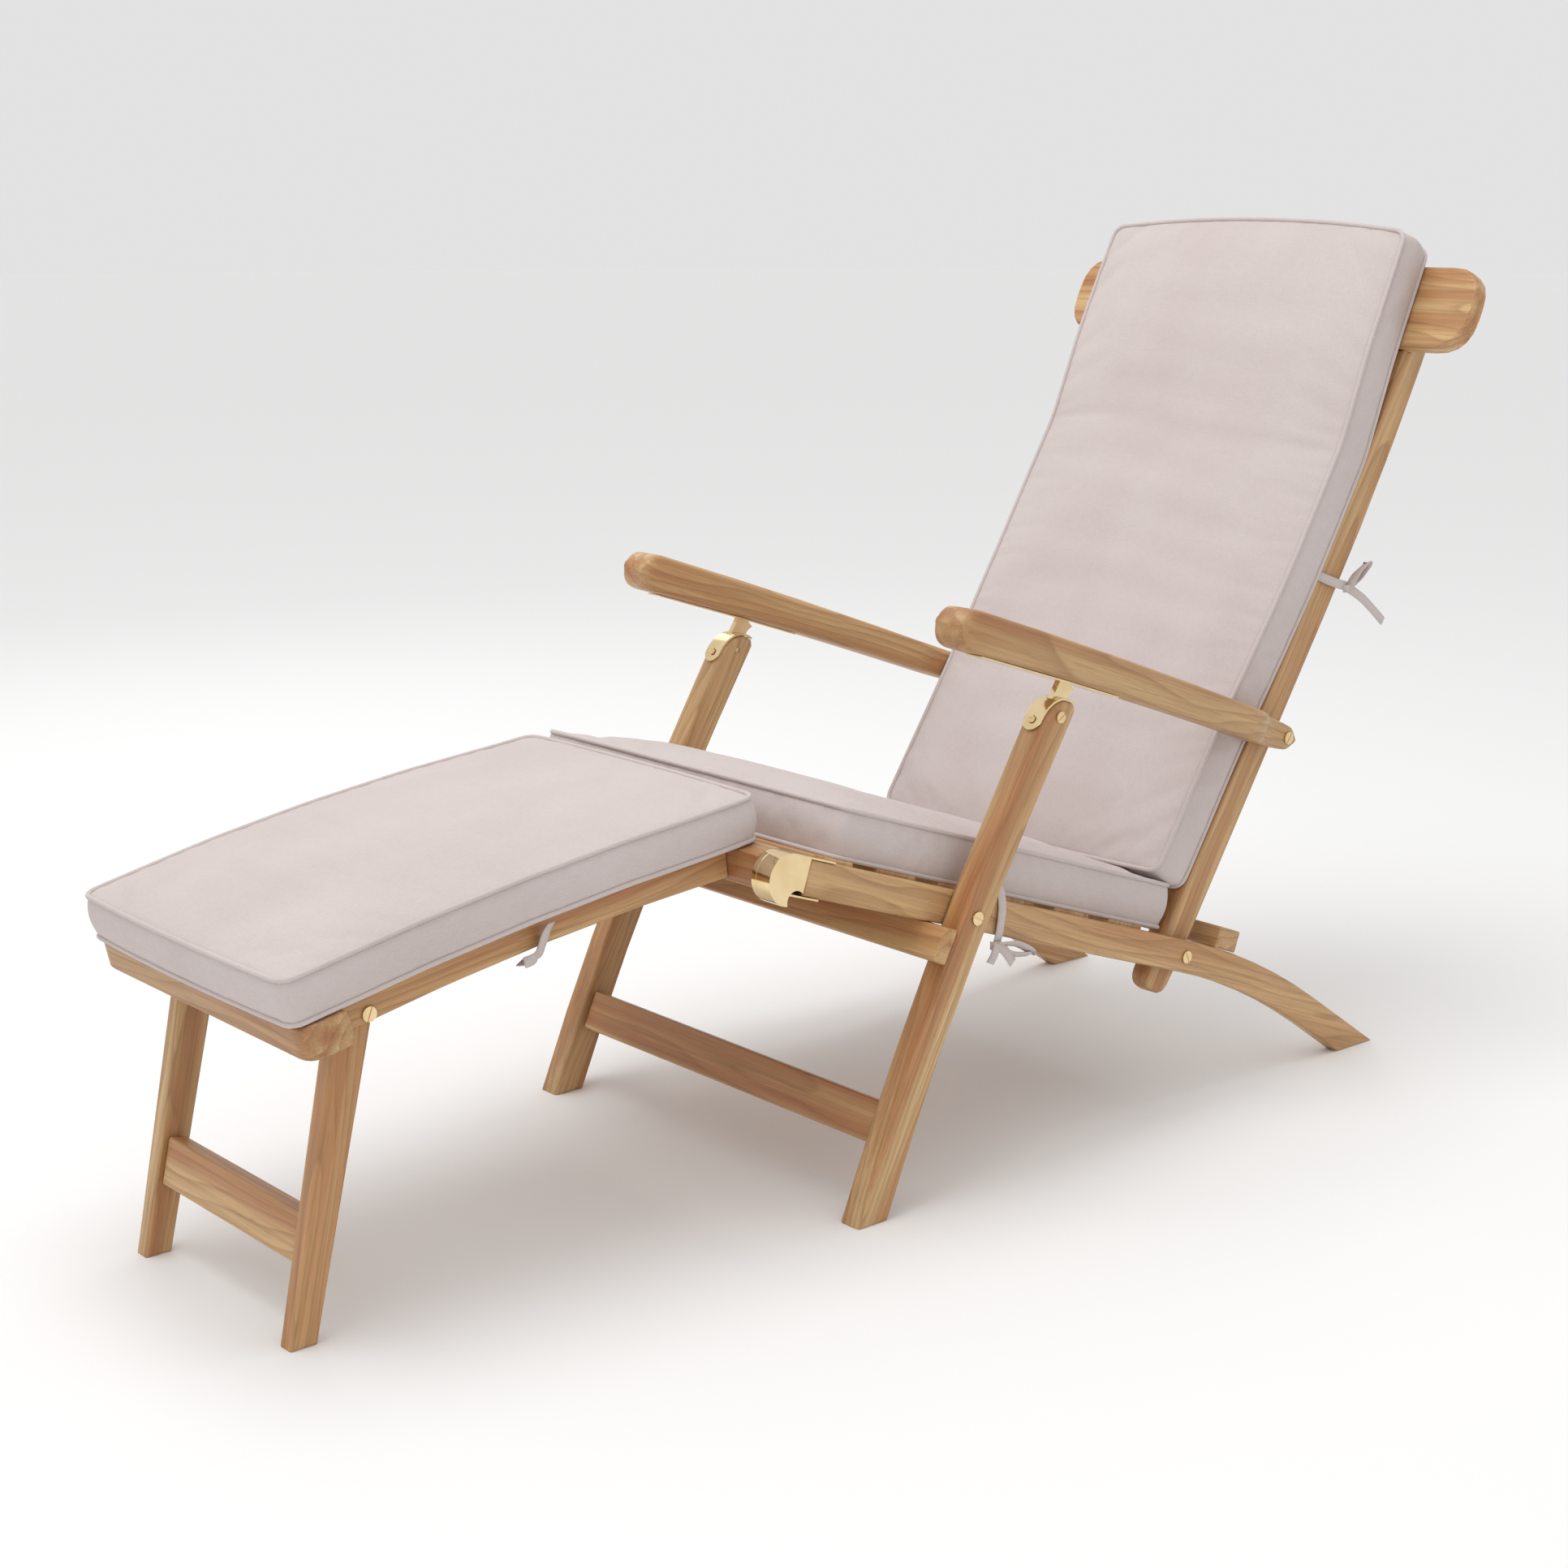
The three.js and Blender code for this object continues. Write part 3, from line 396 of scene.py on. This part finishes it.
def dress(name, material, edge=0.0, segments=3):
    """A frame piece with its material, clean flat faces and, where edge is set, rounded edges."""
    piece = nodes[name]
    piece.data.materials.clear()
    piece.data.materials.append(material)
    piece.data.polygons.foreach_set("use_smooth", [True] * len(piece.data.polygons))
    weld = piece.modifiers.new("weld", "WELD")
    weld.merge_threshold = 0.02 * MM
    flats = piece.modifiers.new("flats", "DECIMATE")
    flats.decimate_type = "DISSOLVE"
    flats.angle_limit = math.radians(1)
    if edge:
        rounded = piece.modifiers.new("rounded", "BEVEL")
        rounded.width = edge
        rounded.segments = segments
        rounded.limit_method = "ANGLE"
        rounded.angle_limit = math.radians(35)
        rounded.harden_normals = True
    normals = piece.modifiers.new("normals", "WEIGHTED_NORMAL")
    normals.keep_sharp = True


def dress_frame():
    across = teak("teak_across")
    beams = ("seat_front_rail", "front_stretcher", "footrest_stretcher", "footrest_hinge_beam", "stop_rail")
    for name in beams:
        dress(name, across, 2.5 * MM)
    for name in ("rear_cross_rail", "back_bottom_rail", "headrail", "footrest_front_rail"):
        dress(name, across, 2 * MM)
    for name in nodes:
        if "_slat_" in name:
            dress(name, across, 1.5 * MM, 2)
    for part in ("side_rail", "front_leg", "back_stile", "footrest_rail", "footrest_leg"):
        material = teak(f"teak_{part}", slope_of(f"{part}_left"))
        for side, _ in SIDES:
            dress(f"{part}_{side}", material)
    metal = brass()
    for part in ("seat_knuckle", "footrest_knuckle", "hinge_pin", "leg_cap", "arm_plate", "strap_screw"):
        for side, _ in SIDES:
            dress(f"{part}_{side}", metal, 0.4 * MM, 2)
    for part in ("back_pivot", "leg_pivot", "arm_pivot", "ear", "foot_leg"):
        for side, _ in SIDES:
            dress(f"{part}_screw_{side}", metal, 0.3 * MM, 2)


# ---------------------------------------------------------------- reading a model piece
class Solid:
    """A model piece's side view: its length direction, and where rays meet it."""

    def __init__(self, name):
        mesh = nodes[name].data
        points = [v.co.copy() for v in mesh.vertices]
        self.tree = BVHTree.FromPolygons(points, [tuple(p.vertices) for p in mesh.polygons])
        self.slope = slope_of(name)
        self.along = Vector((0, math.cos(self.slope), math.sin(self.slope)))
        self.up = Vector((0, -math.sin(self.slope), math.cos(self.slope)))
        self.low, self.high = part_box(name)
        self.middle = (self.low + self.high) / 2
        places = [(p - self.middle).dot(self.along) for p in points]
        self.first, self.last = min(places), max(places)

    def hit(self, start, direction):
        found = self.tree.ray_cast(start, direction)[0]
        return found

    def faces_at(self, place, x):
        """Lower and upper point at a distance along the length, or None past its ends."""
        centre = self.middle + self.along * place
        centre.x = x
        lower = self.hit(centre - self.up, self.up)
        upper = self.hit(centre + self.up, -self.up)
        return (lower, upper) if lower and upper else None


# ---------------------------------------------------------------- arms
def rounded_section(centre, half_wide, half_high, up, radius):
    """A ring with round corners, half_wide along X and half_high along up."""
    radius = min(radius, 0.98 * half_wide, 0.98 * half_high)
    ring = []
    steps = 5
    for quarter in range(4):
        signs = ((1, 1), (-1, 1), (-1, -1), (1, -1))[quarter]
        for k in range(steps + 1):
            angle = (quarter + k / steps) * math.pi / 2
            x = signs[0] * (half_wide - radius) + radius * math.cos(angle)
            z = signs[1] * (half_high - radius) + radius * math.sin(angle)
            ring.append(centre + Vector((x, 0, 0)) + up * z)
    return ring


# Distance from the middle plane at which the arm's faces are read, and the rings it is carved from.
ARM_PROBE = 0.24
ARM_RINGS = 64
ARM_END_INSET = 0.0006
ARM_EDGE = 8 * MM


def build_arm(side, sign):
    """The arm as a carved form: a round nose, softened edges and a thin rounded ear."""
    name = f"arm_{side}"
    solid = Solid(name)
    length = solid.last - solid.first
    probe = ARM_PROBE * sign
    rings = []
    for i in range(ARM_RINGS + 1):
        share = 0.5 - 0.5 * math.cos(math.pi * i / ARM_RINGS)
        place = solid.first + length * min(max(share, ARM_END_INSET), 1 - ARM_END_INSET)
        faces = solid.faces_at(place, probe)
        if faces is None:
            continue
        lower, upper = faces
        centre = (lower + upper) / 2
        inner = solid.hit(Vector((0, centre.y, centre.z)), Vector((sign, 0, 0)))
        outer = solid.hit(Vector((sign, centre.y, centre.z)), Vector((-sign, 0, 0)))
        if inner is None or outer is None:
            continue
        centre.x = (inner.x + outer.x) / 2
        half_wide = abs(outer.x - inner.x) / 2
        half_high = (upper - lower).length / 2
        rings.append(rounded_section(centre, half_wide, half_high, solid.up, ARM_EDGE))
    piece = loft(f"carved_arm_{side}", rings if sign > 0 else [ring[::-1] for ring in rings])
    piece.data.materials.append(teak(f"teak_arm_{side}", solid.slope))
    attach(piece, name)
    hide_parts(name)


# ---------------------------------------------------------------- cushions
class Cushion:
    """A boxed cushion laid along its model block's lower face, with piping round both panels."""

    def __init__(
        self, node, half_wide, start, end, crown, bulge,
        skew=0.0, end_bow=4 * MM, puff=0.0, waist=0.0, flat_from=1.2,
    ):
        self.node = node
        self.end_bow = end_bow
        self.puff = puff
        self.waist = waist
        self.flat_from = flat_from
        self.half_wide = half_wide
        self.crown = crown
        self.bulge = bulge
        self.skew = skew
        solid = Solid(node)
        self.slope = solid.slope
        self.read_path(solid)
        self.start = self.reach[0] + start
        self.end = self.reach[1] - end

    def read_path(self, solid):
        """The lower face's line and the thickness, sampled along the block and smoothed."""
        step = 5 * MM
        samples = []
        places = np.arange(solid.first + step / 2, solid.last, step)
        for place in places:
            faces = solid.faces_at(place, 0.0)
            if faces:
                samples.append((place, faces[0].y, faces[0].z, (faces[1] - faces[0]).length))
        samples = np.array(samples)
        self.thickness = float(np.median(samples[:, 3]))
        whole = samples[samples[:, 3] > 0.8 * self.thickness]
        self.reach = (solid.first, solid.last)
        self.places = np.arange(solid.first - 0.06, solid.last + 0.06, step)
        lines = []
        for column in (1, 2):
            fitted = np.interp(self.places, whole[:, 0], whole[:, column])
            head = (whole[4, column] - whole[0, column]) / (whole[4, 0] - whole[0, 0])
            tail = (whole[-1, column] - whole[-5, column]) / (whole[-1, 0] - whole[-5, 0])
            before = self.places < whole[0, 0]
            after = self.places > whole[-1, 0]
            fitted[before] = whole[0, column] + head * (self.places[before] - whole[0, 0])
            fitted[after] = whole[-1, column] + tail * (self.places[after] - whole[-1, 0])
            lines.append(fitted)
        window = np.hanning(15)
        window /= window.sum()
        padded = [np.pad(line, 7, mode="reflect", reflect_type="odd") for line in lines]
        self.y, self.z = [np.convolve(line, window, mode="valid") for line in padded]
        self.dy = np.gradient(self.y, self.places)
        self.dz = np.gradient(self.z, self.places)

    def at(self, x, share, height):
        """A point of the cushion: x across, share along from 0 to 1, height above the lower face."""
        start = self.start + self.skew * (0.5 + 0.5 * x / self.half_wide)
        place = start + (self.end - start) * share
        y, z = np.interp(place, self.places, self.y), np.interp(place, self.places, self.z)
        dy, dz = np.interp(place, self.places, self.dy), np.interp(place, self.places, self.dz)
        size = math.hypot(dy, dz)
        return Vector((x, y - dz / size * height, z + dy / size * height))

    def fullness(self, across, share):
        """Height of the top panel above its seam: the crown, a fuller front and soft folds."""
        inside = (1 - abs(across) ** 4) * (1 - abs(2 * share - 1) ** 6)
        front = self.puff * math.exp(-((share / 0.28) ** 2))
        drift = 0.6 * math.sin(2.3 * across + 5 * share)
        folds = 0.7 * MM * math.sin(58 * share + 2 * drift) + 0.5 * MM * math.sin(91 * share - 3 * drift + 1)
        near_seam = math.exp(-((1 - abs(across)) / 0.09) ** 2) * (1 - abs(across) ** 12)
        puckers = 0.9 * MM * math.sin(130 * share + 4 * drift) * near_seam
        loaded = 1 / (1 + math.exp((share - self.flat_from) / 0.04))
        return (self.crown + front + folds) * inside * loaded + puckers

    def outline(self, across, along, corner=13 * MM):
        """Plan position of a panel point with both coordinates from -1 to 1, corners rounded."""
        half_long = (self.end - self.start) / 2
        x, v = across * self.half_wide, along * half_long
        dx = abs(x) - (self.half_wide - corner)
        dv = abs(v) - (half_long - corner)
        if dx > 0 and dv > 0:
            reach = max(dx, dv)
            size = math.hypot(dx, dv)
            x = math.copysign(self.half_wide - corner + dx / size * reach, x)
            v = math.copysign(half_long - corner + dv / size * reach, v)
        side_bow = 4 * MM
        x += math.copysign(side_bow * (1 - along * along), x) * abs(across) - side_bow * across
        x -= across * self.waist * math.exp(-(((along + 0.55) / 0.35) ** 2))
        end_bow = self.end_bow if along > 0 else side_bow
        v += math.copysign(end_bow * (1 - across * across), v) * abs(along)
        return x, 0.5 + v / (2 * half_long)


def panel_grid(cushion, cell):
    half_long = (cushion.end - cushion.start) / 2
    columns = max(8, round(2 * cushion.half_wide / cell))
    rows = max(8, round(2 * half_long / cell))
    return columns, rows


def build_cushion_mesh(cushion, name, cell=7 * MM, seam=1.5 * MM):
    """Top panel, bottom panel and the boxing strip between them, with the seam points of both panels."""
    columns, rows = panel_grid(cushion, cell)
    index = {}
    points = []
    faces = []
    top_height = cushion.thickness - seam

    def put(key, point):
        if key not in index:
            index[key] = len(points)
            points.append(point)
        return index[key]

    def panel(level, i, j):
        a, b = 2 * i / columns - 1, 2 * j / rows - 1
        x, share = cushion.outline(a, b)
        flat = (1 - abs(a) ** 5) * (1 - abs(b) ** 8)
        height = top_height + cushion.fullness(a, 0.5 + 0.5 * b) if level == "top" else seam * (1 - flat)
        return put((level, i, j), cushion.at(x, share, height))

    for level in ("top", "bottom"):
        for i in range(columns):
            for j in range(rows):
                ring = [panel(level, *k) for k in ((i, j), (i + 1, j), (i + 1, j + 1), (i, j + 1))]
                faces.append(ring if level == "top" else ring[::-1])
    edge = [(i, 0) for i in range(columns)] + [(columns, j) for j in range(rows)]
    edge += [(i, rows) for i in range(columns, 0, -1)] + [(0, j) for j in range(rows, 0, -1)]
    bands = max(4, round((top_height - seam) / cell))

    def boxing(k, band):
        i, j = edge[k % len(edge)]
        if band == 0:
            return index[("bottom", i, j)]
        if band == bands:
            return index[("top", i, j)]
        rise = band / bands
        a, b = 2 * i / columns - 1, 2 * j / rows - 1
        x, share = cushion.outline(a, b)
        out = cushion.bulge * math.sin(math.pi * rise)
        long = cushion.end - cushion.start
        x += out * a if abs(a) > 0.97 else 0
        share += out * b / long if abs(b) > 0.97 else 0
        return put(("side", k % len(edge), band), cushion.at(x, share, seam + (top_height - seam) * rise))

    for k in range(len(edge)):
        for band in range(bands):
            faces.append([boxing(k, band), boxing(k + 1, band), boxing(k + 1, band + 1), boxing(k, band + 1)])
    piece = mesh_object(name, points, faces, True)
    seams = {level: [index[(level, i, j)] for i, j in edge] for level in ("top", "bottom")}
    flat = [index[key] for key in index if key[0] == "bottom"]
    return piece, seams, flat


CLOTH_FRAMES = 20


def relax_cloth(piece, seams, flat, reach, pressure, slack):
    """Blows the cover up a little as cloth, held at its seams and underside, with each move capped."""
    rest = np.array([v.co for v in piece.data.vertices])
    held = piece.vertex_groups.new(name="held")
    held.add(sorted(set(flat + seams["top"] + seams["bottom"])), 1.0, "REPLACE")
    cloth = piece.modifiers.new("cloth", "CLOTH")
    settings = cloth.settings
    settings.quality = 6
    settings.mass = 0.3
    settings.tension_stiffness = 25
    settings.compression_stiffness = 25
    settings.shear_stiffness = 8
    settings.bending_stiffness = 0.6
    settings.vertex_group_mass = "held"
    settings.use_pressure = True
    settings.uniform_pressure_force = pressure
    settings.shrink_min = -slack
    settings.effector_weights.gravity = 0
    cloth.collision_settings.use_collision = False
    cloth.point_cache.frame_start = 1
    cloth.point_cache.frame_end = CLOTH_FRAMES
    scene = bpy.context.scene
    for number in range(1, CLOTH_FRAMES + 1):
        scene.frame_set(number)
    graph = bpy.context.evaluated_depsgraph_get()
    moved = piece.evaluated_get(graph).to_mesh()
    relaxed = np.array([v.co for v in moved.vertices])
    step = relaxed - rest
    size = np.linalg.norm(step, axis=1, keepdims=True)
    step *= np.tanh(size / reach) * reach / np.maximum(size, 1e-9)
    piece.modifiers.clear()
    piece.vertex_groups.clear()
    piece.data.vertices.foreach_set("co", (rest + step).astype(np.float32).ravel())
    piece.data.update()
    scene.frame_set(1)


PIPING_RADIUS = 2.6 * MM


def finish_cushion(cushion, piece, seams, material, body):
    """Piping over both seams, a finer cover, and the piece's place in the chair."""
    cords = []
    for level, loop in seams.items():
        path = [piece.data.vertices[i].co.copy() for i in loop]
        cord = tube(f"{piece.name}_{level}_piping", path, PIPING_RADIUS, 10, True)
        cord.data.materials.append(material)
        cords.append(cord)
    finer = piece.modifiers.new("finer", "SUBSURF")
    finer.levels = finer.render_levels = 1
    apply_modifiers(piece)
    piece.data.polygons.foreach_set("use_smooth", [True] * len(piece.data.polygons))
    piece.data.materials.clear()
    piece.data.materials.append(material)
    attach(piece, body)
    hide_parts(cushion.node)
    for cord in cords:
        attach(cord, body)
    return cords


def build_cushion(cushion, name, body, reach, pressure, slack):
    piece, seams, flat = build_cushion_mesh(cushion, name)
    relax_cloth(piece, seams, flat, reach, pressure, slack)
    material = canvas(f"canvas_{name}", cushion.slope)
    return piece, finish_cushion(cushion, piece, seams, material, body)


def build_cushions():
    """The three cushions. The seat cushion lies askew, its near front corner drawn back."""
    foot = Cushion(
        "footrest_cushion", half_wide=192 * MM, start=3 * MM, end=3 * MM, crown=7 * MM, bulge=4 * MM,
    )
    seat = Cushion(
        "seat_cushion", half_wide=223 * MM, start=2 * MM, end=12 * MM, crown=9 * MM, bulge=3 * MM,
        skew=52 * MM, puff=8 * MM, flat_from=0.8,
    )
    back = Cushion(
        "back_cushion", half_wide=228 * MM, start=6 * MM, end=10 * MM, crown=7 * MM, bulge=4 * MM,
        end_bow=13 * MM, waist=4 * MM,
    )
    relaxing = {"reach": 8 * MM, "pressure": 3.0, "slack": 0.01}
    build_cushion(foot, "foot_pad", "footrest", **relaxing)
    seat_pad, seat_cords = build_cushion(seat, "seat_pad", "seat_frame", **relaxing)
    back_pad, back_cords = build_cushion(back, "back_pad", "back", **relaxing)
    folded = ((seat, [seat_pad, *seat_cords], 0.26), (back, [back_pad, *back_cords], 0.26))
    for cushion, pieces, keep in folded:
        line = [cushion.at(0, k / 10, 0) for k in range(11)]
        for piece in pieces:
            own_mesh(piece)


# ---------------------------------------------------------------- ties
TIE_WIDTH = 11 * MM


def add_tie(name, body, points, across, material, width=TIE_WIDTH):
    """A flat fabric tie through points given in millimetres."""
    tie = ribbon(name, [Vector(p) * MM for p in points], across, width)
    tie.data.materials.append(material)
    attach(tie, body)


def tie_bow(name, body, knot, loop, tails, material):
    """A knot on the outer side of a rail, a loop and its tails, each aimed by a step in the side view."""
    x, y, z = knot
    out = 1 if x > 0 else -1
    add_tie(f"{name}_knot", body, [
        (x, y - 7, z), (x + 4 * out, y - 4, z), (x + 4 * out, y + 4, z), (x, y + 7, z),
    ], (0, 0, 1), material, 9 * MM)
    dy, dz = loop
    size = math.hypot(dy, dz)
    rise = (-dz / size * 6, dy / size * 6)
    add_tie(f"{name}_loop", body, [
        (x + 2 * out, y, z), (x + 8 * out, y + dy / 2 + rise[0], z + dz / 2 + rise[1]),
        (x + 9 * out, y + dy, z + dz), (x + 3 * out, y + dy / 2 - rise[0], z + dz / 2 - rise[1]),
        (x + 2 * out, y + 2, z - 1),
    ], (0.8 * out, 0.3, 0.5), material)
    for number, (dy, dz) in enumerate(tails):
        add_tie(f"{name}_tail_{number + 1}", body, [
            (x + 3 * out, y, z), (x + 5 * out, y + dy / 3, z + dz / 3 + 2),
            (x + 5 * out, y + 2 * dy / 3, z + 2 * dz / 3 + 1), (x + 3 * out, y + dy, z + dz),
        ], (0, -dz, dy), material)


def build_ties():
    material = canvas("canvas_ties", 0.0)
    for side, sign in SIDES:
        across = (0, 0.92, 0.39)
        add_tie(f"foot_tie_{side}", "footrest", [
            (190 * sign, -503, 362), (183 * sign, -504, 352), (176 * sign, -505, 336),
            (169 * sign, -508, 322),
            (150 * sign, -512, 316),
        ], across, material)
        add_tie(f"foot_tie_tip_{side}", "footrest", [
            (174 * sign, -506, 336), (179 * sign, -515, 328), (178 * sign, -526, 325),
        ], (0, 0.3, 0.95), material)
        add_tie(f"seat_tie_{side}", "seat_frame", [
            (223 * sign, 36, 316), (240 * sign, 34, 310), (248 * sign, 31, 292), (249 * sign, 27, 268),
            (248 * sign, 24, 254),
        ], (0, 1, 0), material)
        seat_tails = [(-10, -18), (24, -24)]
        tie_bow(f"seat_bow_{side}", "seat_frame", (247 * sign, 22, 252), (46, -16), seat_tails, material)
        add_tie(f"back_tie_{side}", "back", [
            (224 * sign, 560, 588), (229 * sign, 578, 580), (229 * sign, 596, 574), (228 * sign, 612, 570),
        ], (0, 0.45, 0.9), material)
        tie_bow(f"back_bow_{side}", "back", (229 * sign, 614, 567), (26, 28), [(68, -46)], material)


# ---------------------------------------------------------------- the scene
make_camera()
make_light()
make_floor()
dress_frame()
for arm_side, arm_sign in SIDES:
    build_arm(arm_side, arm_sign)
build_cushions()
build_ties()
